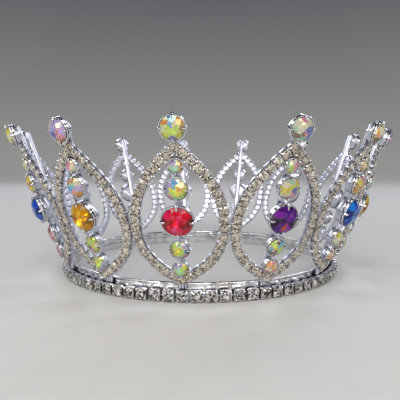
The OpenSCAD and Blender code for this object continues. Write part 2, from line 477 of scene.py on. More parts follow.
class Maker:
    """Gathers small forms into one mesh, in millimetres."""

    def __init__(self) -> None:
        """Starts with nothing."""
        self.points: list[np.ndarray] = []
        self.faces: list[tuple[int, ...]] = []
        self.slots: list[int] = []
        self.tints: list[Colour] = []
        self.count = 0

    def add(self, shape: Shape, matrix: np.ndarray, slot: int = 0) -> None:
        """Adds a form.

        Args:
            shape: The form.
            matrix: Its place.
            slot: Material slot of its faces, unless the form gives one for each.
        """
        placed = shape.points @ matrix[:3, :3].T + matrix[:3, 3]
        self.points.append(placed)
        self.faces += [tuple(k + self.count for k in face) for face in shape.faces]
        self.slots += shape.slots or [slot] * len(shape.faces)
        self.tints += shape.tints or [WHITE] * len(shape.faces)
        self.count += len(placed)

    def piece(
        self, name: str, materials: list[Material], smooth: bool = False, turn: float = 0.0
    ) -> bpy.types.Object:
        """Makes the mesh object.

        Args:
            name: Name of the piece.
            materials: Its materials, in the order of the slots.
            smooth: Whether blunt edges are shaded smooth.
            turn: Angle about the crown's axis that the piece is turned by.

        Returns:
            The object, riding on the crown's one body.
        """
        points = np.concatenate(self.points) @ turned(turn)[:3, :3].T * MM
        mesh = bpy.data.meshes.new(name)
        mesh.from_pydata(points.tolist(), [], self.faces)
        for material in materials:
            mesh.materials.append(material)
        mesh.polygons.foreach_set("material_index", self.slots)
        layer = mesh.color_attributes.new(TINT, "FLOAT_COLOR", "CORNER")
        corners = np.repeat(np.array(self.tints), [len(f) for f in self.faces], axis=0)
        layer.data.foreach_set("color", corners.ravel())
        if smooth:
            mesh.shade_smooth()
            mesh.set_sharp_from_angle(angle=SHARP_FROM)
        mesh.update()
        item = new_object(name, mesh)
        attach(item, "root")
        LOG.info("%s: %d faces", name, len(self.faces))
        return item


class NodeSheet:
    """Nodes of one material or of the surround, added one by one."""

    def __init__(self, owner: Material | bpy.types.World) -> None:
        """Opens the nodes.

        Args:
            owner: The material or the world that they belong to.
        """
        owner.use_nodes = True
        self.owner = owner
        self.tree = owner.node_tree

    def feed(self, node: bpy.types.Node, inputs: Inputs) -> None:
        """Gives a node its inputs.

        Args:
            node: The node.
            inputs: Its values and links.
        """
        for key, value in inputs.items():
            if isinstance(value, bpy.types.NodeSocket):
                self.tree.links.new(value, node.inputs[key])
            else:
                node.inputs[key].default_value = value

    def add(
        self,
        kind: str,
        out: str | int,
        inputs: Inputs | None = None,
        settings: dict[str, object] | None = None,
        stops: Iterable[tuple[float, Colour]] = (),
    ) -> bpy.types.NodeSocket:
        """Adds a node with its settings and links.

        Args:
            kind: Type of the node, without the words that every type starts with.
            out: Which of its outputs is wanted.
            inputs: Its values and links.
            settings: Properties of the node.
            stops: Places and colours of its ramp, in rising order.

        Returns:
            The output.
        """
        node = self.tree.nodes.new(f"ShaderNode{kind}")
        for key, value in (settings or {}).items():
            setattr(node, key, value)
        self.feed(node, inputs or {})
        for k, (place, colour) in enumerate(stops):
            elements = node.color_ramp.elements
            element = elements[k] if k < 2 else elements.new(place)
            element.position = place
            element.color = colour
        return node.outputs[out]

    def finish(self, last: str, inputs: Inputs) -> Material | bpy.types.World:
        """Feeds the last node, by its name, and returns the material or the world."""
        self.feed(self.tree.nodes[last], inputs)
        return self.owner


def grey(share: float) -> Colour:
    """Returns a linear grey."""
    return share, share, share, 1.0


def scale_of(size_mm: float) -> float:
    """Returns the scale of a pattern whose parts have a size in millimetres."""
    return 1 / (size_mm * MM)


# Settings of a Mix node that blends or multiplies colours, and its colour sockets
BLEND = {"data_type": "RGBA"}
MULTIPLY = {"data_type": "RGBA", "blend_type": "MULTIPLY"}
FIRST, SECOND, RESULT = 6, 7, 2


@dataclass(frozen=True)
class SilverPlate:
    """Bright silver plating on cast and stamped brass, polished by tumbling.

    It gives a white mirror with soft, slightly uneven highlights, a greyer film of tarnish in
    cloudy patches, and grime with painted shade where walls stand close together.
    """

    name: str
    bright: str = "#f0f1f5"
    tarnish: str = "#b4b2b0"
    # Colour of the grime and the painted shade that recesses and gaps take
    grime_and_shade: str = "#38342f"
    roughness: float = 0.1
    # Roughness of the cleanest and the dullest patches, as shares of the usual one
    gloss_spread: Pair = (0.6, 1.8)
    # Clouds of tarnish, and where in them it starts and is full
    cloud_mm: float = 6.0
    cloud_span: Pair = (0.4, 0.8)
    # Tumbling marks are near 0.05 mm. They are drawn at 0.4 mm, the least that shows.
    mark_mm: float = 0.4
    mark_deep_mm: float = 0.02
    mark_strength: float = 0.15
    # Walls closer than this gather grime and painted shade: all of it at the first openness, none
    # at the second.
    recess_mm: float = 0.7
    recess_open: Pair = (0.25, 0.75)
    # Slow dents of rolled sheet, where it has them: they break up its mirror images.
    wave_mm: float = 0.0
    wave_deep_mm: float = 1.0

    def build(self) -> Material:
        """Builds the material.

        Returns:
            The material.
        """
        sheet = NodeSheet(bpy.data.materials.new(self.name))
        place = sheet.add("TexCoord", "Object")
        cloud = sheet.add(
            "TexNoise",
            "Fac",
            {"Vector": place, "Scale": scale_of(self.cloud_mm), "Detail": 4.0, "Roughness": 0.6},
        )
        shades = zip(self.cloud_span, (linear(self.bright), linear(self.tarnish)))
        film = sheet.add("ValToRGB", "Color", {"Fac": cloud}, stops=shades)
        # Painted shade: ambient occlusion mixes the colour toward the grime where walls stand
        # close, darkening recesses and gaps
        openness = sheet.add(
            "AmbientOcclusion", "AO", {"Distance": self.recess_mm * MM}, {"samples": 4}
        )
        low, high = self.recess_open
        recess_shade = sheet.add(
            "MapRange",
            "Result",
            {"Value": openness, "From Min": low, "From Max": high, "To Min": 1.0, "To Max": 0.0},
        )
        grime_and_shade = linear(self.grime_and_shade)
        colour = sheet.add("Mix", RESULT, {"Factor": recess_shade, FIRST: film, SECOND: grime_and_shade}, BLEND)
        least, most = (self.roughness * k for k in self.gloss_spread)
        gloss = sheet.add("MapRange", "Result", {"Value": cloud, "To Min": least, "To Max": most})
        marks = sheet.add(
            "TexNoise", "Fac", {"Vector": place, "Scale": scale_of(self.mark_mm), "Detail": 2.0}
        )
        deep = self.mark_deep_mm * MM
        bumps = {"Height": marks, "Strength": self.mark_strength, "Distance": deep}
        normal = sheet.add("Bump", "Normal", bumps)
        if self.wave_mm:
            waves = sheet.add(
                "TexNoise", "Fac", {"Vector": place, "Scale": scale_of(self.wave_mm), "Detail": 1.0}
            )
            deep = self.wave_deep_mm * MM
            dents = {"Height": waves, "Normal": normal, "Strength": 1.0, "Distance": deep}
            normal = sheet.add("Bump", "Normal", dents)
        return sheet.finish(
            "Principled BSDF",
            {"Metallic": 1.0, "Base Color": colour, "Roughness": gloss, "Normal": normal},
        )


@dataclass(frozen=True)
class CutGlass:
    """Lead crystal, machine cut and polished on tin wheels.

    It gives sharp, flat facets with a hard gloss, a trace of polishing haze, and a colour that
    the light takes up on its way through the melt.
    """

    name: str
    melt: str = "#ffffff"
    # Share of each facet's tint, with its painted light, shade and reflections, in the colour
    coat_share: float = 0.0
    # Thickness of the rainbow coating's metal oxide film, which shifts the shine's colour
    film_nm: float = 0.0
    film_ior: float = 1.9
    ior: float = 1.54
    # Share of the light that the foil's glitter throws back softly
    milk: float = 0.0
    # Strength of the outer reflection: 0.5 for bare glass, less where a deep colour shows
    gloss: float = 0.5
    # Polishing haze, its roughness at most, and how far it pales the melt
    haze_mm: float = 1.5
    haze_span: Pair = (0.4, 0.8)
    haze_rough: float = 0.04
    haze_pale: float = 0.2
    pale_span: Pair = (0.2, 0.9)
    # The foil's facets repeat in one another as specks near 0.3 mm. They are painted into the
    # colour as specks of reflection, at twice that size.
    painted_speck_mm: float = 0.0
    painted_speck_dark: str = "#2a221a"
    # Share of the painted specks that are dark, and grey of the middling ones
    painted_speck_share: float = 0.2
    painted_speck_middle: float = 0.72
    # From the painted dark specks on: how much further, and share of the middling grey
    painted_speck_steps: tuple[Pair, ...] = ((0.08, 0.45), (0.16, 0.9))
    # Where the middling painted specks end and the white ones start
    painted_speck_white: Pair = (0.62, 0.72)

    def build(self) -> Material:
        """Builds the material.

        Returns:
            The material.
        """
        sheet = NodeSheet(bpy.data.materials.new(self.name))
        place = sheet.add("TexCoord", "Object")
        haze = sheet.add(
            "TexNoise", "Fac", {"Vector": place, "Scale": scale_of(self.haze_mm), "Detail": 3.0}
        )
        low, high = self.haze_span
        rough = sheet.add(
            "MapRange",
            "Result",
            {"Value": haze, "From Min": low, "From Max": high, "To Max": self.haze_rough},
        )
        clear = linear(self.melt)
        shades = zip(self.pale_span, (clear, mixed(clear, self.haze_pale)))
        colour = sheet.add("ValToRGB", "Color", {"Fac": haze}, stops=shades)
        if self.coat_share:
            tint = sheet.add("VertexColor", "Color", settings={"layer_name": TINT})
            shares = {"Factor": self.coat_share, FIRST: colour, SECOND: tint}
            colour = sheet.add("Mix", RESULT, shares, BLEND)
        # Painted reflections: dark and grey specks multiplied into the colour
        if self.painted_speck_mm:
            cells = sheet.add(
                "TexVoronoi", "Color", {"Vector": place, "Scale": scale_of(self.painted_speck_mm)}
            )
            low, middle = self.painted_speck_share, self.painted_speck_middle
            shades = [(low, linear(self.painted_speck_dark))]
            shades += [(low + more, grey(share * middle)) for more, share in self.painted_speck_steps]
            shades += zip(self.painted_speck_white, (grey(middle), WHITE))
            painted_specks = sheet.add("ValToRGB", "Color", {"Fac": cells}, stops=shades)
            shares = {"Factor": 1.0, FIRST: colour, SECOND: painted_specks}
            colour = sheet.add("Mix", RESULT, shares, MULTIPLY)
        inputs = {
            "Transmission Weight": 1.0 - self.milk,
            "IOR": self.ior,
            "Specular IOR Level": self.gloss,
            "Roughness": rough,
            "Base Color": colour,
        }
        if self.film_nm:
            inputs |= {"Thin Film Thickness": self.film_nm, "Thin Film IOR": self.film_ior}
        return sheet.finish("Principled BSDF", inputs)


@dataclass(frozen=True)
class MirrorFoil:
    """Mirror foil on the back of a stone, vacuum coated and lacquered.

    Seen through the glass it throws the light back facet by facet, in each facet's tint: the
    stone's own colour with its painted light, shade and reflections.
    """

    name: str
    tint_share: float = 1.0
    roughness: float = 0.08
    # Mottle of the lacquer, where it starts and ends, and its darker grey
    mottle_mm: float = 0.8
    mottle_span: Pair = (0.3, 0.7)
    mottle_dark: float = 0.78

    def build(self) -> Material:
        """Builds the material.

        Returns:
            The material.
        """
        sheet = NodeSheet(bpy.data.materials.new(self.name))
        place = sheet.add("TexCoord", "Object")
        mottle = sheet.add(
            "TexNoise", "Fac", {"Vector": place, "Scale": scale_of(self.mottle_mm), "Detail": 2.0}
        )
        shades = zip(self.mottle_span, (grey(self.mottle_dark), WHITE))
        shade = sheet.add("ValToRGB", "Color", {"Fac": mottle}, stops=shades)
        tint = sheet.add("VertexColor", "Color", settings={"layer_name": TINT})
        shares = {"Factor": self.tint_share, FIRST: shade, SECOND: tint}
        colour = sheet.add("Mix", RESULT, shares, MULTIPLY)
        return sheet.finish(
            "Principled BSDF", {"Metallic": 1.0, "Roughness": self.roughness, "Base Color": colour}
        )


@dataclass(frozen=True)
class StoneFinish:
    """Materials of one kind of stone: its crystal and its foil."""

    crystal: Material
    foil: Material

    @property
    def slots(self) -> list[Material]:
        """Both, in the order of a stone's slots."""
        return [self.crystal, self.foil]


class Melt(Enum):
    """Colours of the centre stones: name, glass, and facets from dark to light to glint."""

    # The facet colours are painted: dark is painted shade, light is painted light, and glint is a
    # painted highlight
    ROSE = ("rose_crystal", "#f0083c", ("#980014", "#e80434", "#ff1a68", "#ff62a0"))
    VIOLET = ("violet_crystal", "#6a10a0", ("#14021c", "#5c0a90", "#9024b8", "#dc5c3c"))
    SAPPHIRE = ("sapphire_crystal", "#146ce8", ("#06206c", "#0c54cc", "#1c98fc", "#8cd8ff"))
    AMBER = ("amber_crystal", "#fccc18", ("#8e6000", "#e4a000", "#fcd014", "#fff278"))

    def finish(self) -> StoneFinish:
        """Builds its materials.

        Returns:
            Crystal and foil.
        """
        slot, glass, _ = self.value
        colour = slot.split("_")[0]
        melt = CutGlass(f"{colour}_lead_crystal", glass, coat_share=0.9, milk=0.5, gloss=0.15)
        return StoneFinish(melt.build(), MirrorFoil(f"{colour}_mirror_foil").build())

    def shades(self) -> list[Colour]:
        """Painted light and shade of the facets: dark at the sides, light above.

        Returns:
            Eight colours round the crown and eight round the table.
        """
        dark, middle, light, glint = (linear(code) for code in self.value[2])
        crown = [dark, middle, middle, light, dark, middle, light, middle]
        table = [middle, light, middle, dark, middle, glint, light, dark]
        return crown + table


# Centre stones from the front frame round to the right of someone who faces it
MELTS = [Melt.ROSE, Melt.VIOLET, Melt.SAPPHIRE, Melt.AMBER] * 2
MELTS += [Melt.ROSE, Melt.VIOLET, Melt.ROSE, Melt.SAPPHIRE, Melt.AMBER]

# Tints round the coated stones, painted reflections of the coating, one row for a frame: the
# front one, the two to its right, and the two to its left from the outer one inward.
COATS: dict[StoneSpot, list[str]] = {
    TIP: [
        "AOSOCYLYGCSGGGGG",
        "VCPCMWMVVCCCCWPV",
        "YCCCOWCYCCCCPWWC",
        "CYCCYAYCCYCCYYAY",
        "LLLCVVOPPLLLVVPP",
    ],
    TOP: [
        "OOLLCMMOMCLMMMMM",
        "PPCMMGCPPPCGGGPP",
        "OCYCOOCOCOYCCOOC",
        "YCAYYAYCYCYYAYYC",
        "CCPWPPCCCPPPPPCC",
    ],
    UPPER: [
        "YCSLLPMGOYSYGGYY",
        "YYMCYCPPVYYYYCPV",
        "AOPYAOYAYAOYAOPY",
        "AYOAYOAYOAYYAYOA",
        "LCOOSPOOLMMSSPOL",
    ],
    LOWER: [
        "VLMGAYCPGYYYYYGG",
        "GSWGSWOGGSGYPWGG",
        "CCCYCCCOCCYCCCOC",
        "PWPWAPWPWPWPAPWW",
        "CGYYWWPYYGGGWWPY",
    ],
    LOWEST: [
        "AYLLCGMOGGMMMMGM",
        "OCPOCPCOCOOPCCPO",
        "OCPCOWPOOCCPWOCO",
        "WPPWAPWPPWAPWPWP",
        "LGYYAPPLGYYYYGGG",
    ],
}

# Painted glints and painted shade on small facets at a stone's rim: share of another grey, and that
# grey, 1 for white
FACET_GLINTS = [(0.0, 1.0), (0.0, 1.0), (0.15, 1.0), (0.6, 1.0), (0.3, 0.0), (0.75, 0.0)]
# Painted glints: share of white on the facets round the table, and on those of the edge
TABLE_GLINT = 0.3
EDGE_GLINT = 0.5


def cut_stone(
    cut: Cut,
    diameter: float,
    tints: list[Colour],
    draw: random.Random,
    glint_white: float = 1.0,
    cushion: float = 0.0,
) -> Shape:
    """Round cut stone: table, stars, kites, halves, edge, pavilion kites and halves.

    Args:
        cut: Its proportions.
        diameter: Its diameter.
        tints: Eight colours round the crown, from its right side over its top, then eight
            colours round the table.
        draw: Source of the painted glints and painted shade on single facets.
        glint_white: How far the painted glints go to white, 0 to 1.
        cushion: How far its corners on the diagonals stand out, as a share of its radius.

    Returns:
        The stone with its edge at height 0: crystal in slot 0 and foil in slot 1.
    """
    d = diameter
    edge = cut.girdle / 2 * d
    table_r, table_z = cut.table * d / 2, cut.crown * d + edge
    star_r = cut.star * d / 2
    share = math.cos(math.pi / 8)
    star_z = table_z - (star_r * share - table_r) * (table_z - edge) / (d / 2 - table_r)
    point_z = -cut.pavilion * d - edge
    half_r = cut.half * d / 2
    half_z = point_z + half_r * share * (-edge - point_z) / (d / 2)
    points = (
        ring(8, table_r, table_z)
        + ring(8, star_r, star_z, 0.5)
        + ring(16, d / 2, edge)
        + ring(16, d / 2, -edge)
        + ring(8, half_r, half_z, 0.5)
        + [(0.0, 0.0, point_z), (0.0, 0.0, table_z)]
    )
    # Where the points of each ring start
    star, top, low, half, point, centre = 8, 16, 32, 48, 56, 57
    faces: list[tuple[int, ...]] = []
    slots: list[int] = []
    colours: list[Colour] = []

    def put(slot: int, colour: Colour, *face: int) -> None:
        """Adds a face.

        Args:
            slot: Its material slot.
            colour: Its colour.
            face: Its points.
        """
        faces.append(face)
        slots.append(slot)
        colours.append(colour)

    for k in range(8):
        after, back = (k + 1) % 8, (k - 1) % 8
        mid, far = top + 2 * k + 1, top + 2 * after
        side, beside = tints[k], tints[after]
        put(0, tints[8 + k], centre, k, after)
        # The facets round the table mix toward white as a painted glint
        put(0, mixed(tints[8 + k], TABLE_GLINT * glint_white), k, star + k, after)
        put(0, side, k, star + back, top + 2 * k, star + k)
        # At random, single facets mix toward white as painted glints and toward black as painted
        # shade
        for colour, *face in ((side, star + k, top + 2 * k, mid), (beside, star + k, mid, far)):
            share, other = draw.choice(FACET_GLINTS)
            put(0, mixed(colour, share * (glint_white if other else 1.0), other), *face)
        put(1, tints[8 + k], point, half + k, low + 2 * k, half + back)
        put(1, side, half + k, low + 2 * k + 1, low + 2 * k)
        put(1, beside, half + k, low + 2 * after, low + 2 * k + 1)
    # The edge's facets mix toward white as a painted glint
    for k in range(16):
        after = (k + 1) % 16
        rim = mixed(tints[k // 2], EDGE_GLINT * glint_white)
        put(0, rim, top + k, low + k, low + after, top + after)
    corners = np.array(points, float)
    angles = np.arctan2(corners[:, 1], corners[:, 0])
    corners[:, :2] *= (1 + cushion * np.sin(2 * angles) ** 2)[:, None]
    return Shape(corners, faces, slots, colours)


def small_stone(
    diameter: float, palette: list[Colour], draw: random.Random, cushion: float
) -> Shape:
    """Small stone of a cup chain, whose facets each take a shade of their own.

    Args:
        diameter: Its diameter.
        palette: Shades of the facets.
        draw: Source of the shades.
        cushion: How far its corners on the diagonals stand out, as a share of its radius.

    Returns:
        The stone.
    """
    tints = [draw.choice(palette) for _ in range(16)]
    stone = cut_stone(SMALL_CUT, diameter, tints, draw, cushion=cushion)
    stone.tints = [draw.choice(palette) for _ in stone.faces]
    return stone


def askew(draw: random.Random, lean: float) -> np.ndarray:
    """Returns the small tilt of a stone that isn't seated quite square."""
    return turned(draw.gauss(0, lean), 0) @ turned(draw.gauss(0, lean), 1)


# Domed back of a chain's cup: shares of its half width, half length and half width for the
# corner, and height in millimetres
CUP_DOME = [
    (0.4, 0.78, 0.34, 0.0),
    (0.72, 0.93, 0.46, 0.1),
    (0.92, 0.99, 0.4, 0.36),
    (1.0, 1.0, 0.34, 0.8),
]


@dataclass(frozen=True)
class ChainCup:
    """One pressed cup of a stone chain: domed back, square wall and four corner prongs."""

    width: float
    length: float
    stone: float
    seat: float
    rim: float
    corner: float
    prong: float
    floor: float = 0.8
    shoulder: float = 1.4
    wall: float = 0.3
    # How far the prongs reach over the stone
    over: float = 0.3

    def add_to(self, maker: Maker, matrix: np.ndarray) -> None:
        """Adds the cup to a mesh.

        Args:
            maker: Mesh that it goes into.
            matrix: Its place, with its back at height 0 and its opening upward.
        """
        x, y, c = self.width / 2, self.length / 2, self.corner
        inside = x - self.wall, y - self.wall, c * 0.8
        rings = [rounded_ring(x * a, y * b, x * e, high) for a, b, e, high in CUP_DOME]
        rings += [rounded_ring(x, y, c, high) for high in (self.shoulder, self.rim)]
        rings += [rounded_ring(*inside, high) for high in (self.rim, self.floor)]
        maker.add(loft(rings), matrix)
        reach = math.hypot(x - c, y - c) + c - 0.1
        tip, high = self.stone / 2 - self.over, self.seat + 0.5
        # Stations from the wall over the stone's edge: x, height, width and thickness
        claw = finger(
            [
                (reach - 0.1, 0.9, self.prong, 0.36),
                (reach, self.seat - 0.1, self.prong, 0.4),
                (reach - 0.1, self.seat + 0.32, self.prong * 0.95, 0.4),
                ((reach + tip) / 2, high, self.prong * 0.85, 0.34),
                (tip, high + 0.02, self.prong * 0.55, 0.24),
            ]
        )
        for k in range(4):
            angle = math.atan2(y, x) if k % 2 == 0 else math.atan2(x, y)
            maker.add(claw, matrix @ turned(angle + k * math.pi / 2), 1)

    def stone_place(self, matrix: np.ndarray, draw: random.Random, lean: float) -> np.ndarray:
        """Returns the place of a cup's stone, a little askew as pressed stones are."""
        tilt = askew(draw, lean)
        return matrix @ moved(0, 0, self.seat) @ tilt @ turned(draw.gauss(0, lean))


@dataclass
class Band:
    """The plated band: rolled upper bead, hollow outside, grooved inside, link strip."""

    form: CrownForm
    plate: Material
    bead_r: float = 0.62
    # Angles where the bead's round starts and how far it goes, and its steps
    bead_from: float = -40.0
    bead_sweep: float = 260.0
    bead_steps: int = 8
    strip_h: float = 1.8
    strip_bevel: float = 0.1
    edge_bevel: float = 0.15
    # Height of the step under the bead, its slope and its depth
    step_z: float = 5.6
    step_slope: float = 0.2
    step_deep: float = 0.3
    # Inside, the fillet under the bead, and the groove's two half widths and its depth
    fillet: float = 0.28
    fillet_deep: float = 0.05
    groove_wide: float = 0.4
    groove_narrow: float = 0.15
    groove_deep: float = 0.35
    around: int = 312

    def profile(self) -> list[Pair]:
        """Section of the band.

        Returns:
            Radii and heights, from the inner foot round the outside.
        """
        form = self.form
        out, inner, high = form.band_r, form.band_r - form.band_t, form.band_h
        mid = form.chain_lift + form.chain_cup_w / 2
        low_edge, high_edge = mid - self.strip_h / 2, mid + self.strip_h / 2
        bead_z = high - self.bead_r
        middle = (out + inner) / 2
        neck = bead_z - self.bead_r
        bead = []
        for k in range(self.bead_steps + 1):
            a = math.radians(self.bead_from + k * self.bead_sweep / self.bead_steps)
            bead.append((middle + self.bead_r * math.cos(a), bead_z + self.bead_r * math.sin(a)))
        outside = [
            (inner + self.edge_bevel, 0.0),
            (out - self.edge_bevel, 0.0),
            (out, self.edge_bevel),
            (out, low_edge),
            (out + form.link_t, low_edge + self.strip_bevel),
            (out + form.link_t, high_edge - self.strip_bevel),
            (out, high_edge),
            (out, self.step_z),
            (out - self.step_deep, self.step_z + self.step_slope),
            (out - self.step_deep, neck),
        ]
        groove = [(self.groove_wide, 0.0), (self.groove_narrow, self.groove_deep)]
        inside = [(inner + self.fillet_deep, neck), (inner, neck - self.fillet)]
        inside += [(inner + deep, high / 2 + away) for away, deep in groove]
        inside += [(inner + deep, high / 2 - away) for away, deep in reversed(groove)]
        inside += [(inner, self.edge_bevel)]
        return outside + bead + inside

    def build(self) -> None:
        """Builds the band's piece."""
        section = self.profile()
        rings = []
        for k in range(self.around):
            a = 2 * math.pi * k / self.around
            rings.append([(r * math.cos(a), r * math.sin(a), z) for r, z in section])
        rings.append(rings[0])
        shape = loft(rings, closed=False)
        last = self.around * len(section)
        shape.points = shape.points[:last]
        shape.faces = [tuple(k % last for k in reversed(face)) for face in shape.faces]
        maker = Maker()
        maker.add(shape, np.eye(4))
        piece = maker.piece("band_plate", [self.plate], smooth=True)
        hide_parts("band")


@dataclass
class FootChain:
    """The chain of square cups round the band's foot, with its links and stones."""

    form: CrownForm
    plates: list[Material]
    stones: StoneFinish
    link_long: float = 1.9
    link_high: float = 0.9
    link_thick: float = 0.5
    link_back: float = 0.5
    # The link from back to front: share of its height, corner, and share of its thickness
    link_rounds: tuple[Row, ...] = (
        (0.8, 0.2, 0.0),
        (1.0, 0.3, 0.3),
        (1.0, 0.3, 0.8),
        (0.7, 0.2, 1.0),
    )
    stone_d: float = 4.8
    corner: float = 0.6
    prong: float = 0.55
    below_lip: float = 0.75
    cushion: float = 0.17
    lean: float = 0.06
    # Shades of the stones' facets: white, with painted dark reflections
    whites_and_painted_darks: tuple[str, ...] = ("#ffffff", "#ffffff", "#ffffff", "#f6ead6", "#2a2828", "#6c6864")

    def build(self, draw: random.Random) -> None:
        """Builds the cups' and the stones' pieces.

        Args:
            draw: Source of the small errors.
        """
        form = self.form
        wide, seat = form.chain_cup_w, form.chain_cup_depth - self.below_lip
        cup = ChainCup(wide, wide, self.stone_d, seat, seat, self.corner, self.prong)
        front = np.eye(4)
        front[:3, 1] = 0, 0, 1
        front[:3, 2] = 0, -1, 0
        front[:3, 3] = 0, -form.chain_r, form.chain_lift + form.chain_cup_w / 2
        metal, gems = Maker(), Maker()
        half_x, half_y = self.link_long / 2, self.link_high / 2
        link = loft(
            [
                rounded_ring(half_x, half_y * high, c, self.link_back + self.link_thick * deep)
                for high, c, deep in self.link_rounds
            ]
        )
        pitch = 2 * math.pi / form.chain_count
        whites_and_painted_darks = [linear(code) for code in self.whites_and_painted_darks]
        for k in range(form.chain_count):
            place = turned(k * pitch) @ front
            cup.add_to(metal, place)
            metal.add(link, turned((k + 0.5) * pitch) @ front)
            gem = small_stone(self.stone_d, whites_and_painted_darks, draw, self.cushion)
            gems.add(gem, cup.stone_place(place, draw, self.lean))
        cups = metal.piece("foot_cups", self.plates, smooth=True)
        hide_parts("foot_chain_cups")
        row = gems.piece("foot_gems", self.stones.slots)
        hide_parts("foot_chain_stones")


@dataclass(frozen=True)
class ClawSetting:
    """The setting of one column stone: footed cone, two wires, seat ring and four claws.

    Widths and insets are in millimetres. Drops, rises and reaches are shares of the stone.
    """

    form: CrownForm
    spot: StoneSpot
    around: int = 28
    # The cone's point inside, and the wires' heights
    point_r: float = 0.06
    point_drop: float = 0.035
    gallery_drop: float = 0.16
    wire_drop: float = 0.045
    claw_inset: float = 0.22
    # The cone's lip, as shares of the claws' reach, and its thickness and squareness
    lip_outer: float = 0.96
    lip_inner: float = 0.93
    lip: float = 0.3
    lip_square: float = 0.1
    # The seat ring's foot
    seat_inset: float = 0.35
    seat_drop: float = 0.1
    gallery_share: float = 0.95
    gallery_wire: float = 0.24
    upper_wire: float = 0.26
    wire_sides: int = 6
    claw_w: float = 0.4
    claw_w_share: float = 0.045
    tip_reach: float = 0.425
    tip_rise: float = 0.0725
    # The cone from its foot up: share of the outer radius, share of its height, squareness
    cone: tuple[Row, ...] = (
        (0.5, 0.0, 0.7),
        (0.74, 0.07, 0.7),
        (0.9, 0.27, 0.5),
        (0.96, 0.6, 0.25),
    )
    # The seat ring: share of the stone's radius, more in millimetres, and drop
    seat: tuple[Row, ...] = (
        (1.0, 0.05, 0.035),
        (1.0, 0.05, 0.01),
        (1.0, -0.03, 0.01),
        (0.6, 0.0, 0.16),
    )

    def hoop(self, radius: float, height: float, thick: float) -> Shape:
        """Closed ring of round wire.

        Args:
            radius: Radius to the wire's middle.
            height: Height of the wire's middle.
            thick: Half of the wire's thickness.

        Returns:
            The ring.
        """
        n, m = self.around, self.wire_sides
        points, faces = [], []
        for k in range(n):
            a = 2 * math.pi * k / n
            for j in range(m):
                b = 2 * math.pi * j / m
                out = radius + thick * math.cos(b)
                points.append((out * math.cos(a), out * math.sin(a), height + thick * math.sin(b)))
                here, there = k * m, (k + 1) % n * m
                after = (j + 1) % m
                faces.append((here + j, there + j, there + after, here + after))
        return Shape(np.array(points), faces)

    def add_to(self, maker: Maker, place: np.ndarray) -> None:
        """Adds the setting to a mesh.

        Args:
            maker: Mesh that it goes into.
            place: Its place, on the back face of the frame.
        """
        n, d, r = self.around, self.spot.diameter, self.form.cup_r(self.spot)
        rise, base = ROUND_CUT.seat(self.form, self.spot), self.form.cup_set
        reach, gallery = r - self.claw_inset, rise - self.gallery_drop * d
        deep = gallery - base
        cone = [diamond_ring(n, out * r, base + up * deep, square) for out, up, square in self.cone]
        for lip_r in (reach * self.lip_outer, reach * self.lip_inner - self.lip):
            cone.append(diamond_ring(n, lip_r, gallery, self.lip_square))
        cone.append(ring(n, self.point_r * d, rise - (ROUND_CUT.pavilion + self.point_drop) * d))
        maker.add(loft(cone), place)
        seat = [ring(n, reach - self.seat_inset, rise - self.seat_drop * d)]
        seat += [ring(n, out * d / 2 + more, rise - drop * d) for out, more, drop in self.seat]
        maker.add(loft([*seat, seat[0]], closed=False), place)
        maker.add(self.hoop(reach * self.gallery_share, gallery, self.gallery_wire), place, 1)
        maker.add(self.hoop(reach, rise - self.wire_drop * d, self.upper_wire), place, 1)
        wide, tip = self.claw_w + self.claw_w_share * d, self.tip_reach * d
        over = rise + self.tip_rise * d
        # Stations of a claw from its foot over the stone's edge: x, height, width, thickness
        claw = finger(
            [
                (0.7 * r, base + 0.1, wide * 0.8, 0.4),
                (0.95 * r, base + 0.5 * deep, wide * 0.8, 0.4),
                (reach, gallery, wide * 0.9, 0.42),
                (r - 0.12, rise - 0.04 * d, wide, 0.46),
                (r - 0.1, rise + 0.03 * d, wide, 0.48),
                (r - 0.35, over + 0.12, wide * 0.95, 0.46),
                (tip, over + 0.26, wide * 0.7, 0.34),
                (tip - 0.35, over + 0.3, wide * 0.4, 0.24),
            ],
            sides=8,
        )
        for k in range(4):
            maker.add(claw, place @ turned(k * math.pi / 2), 1)


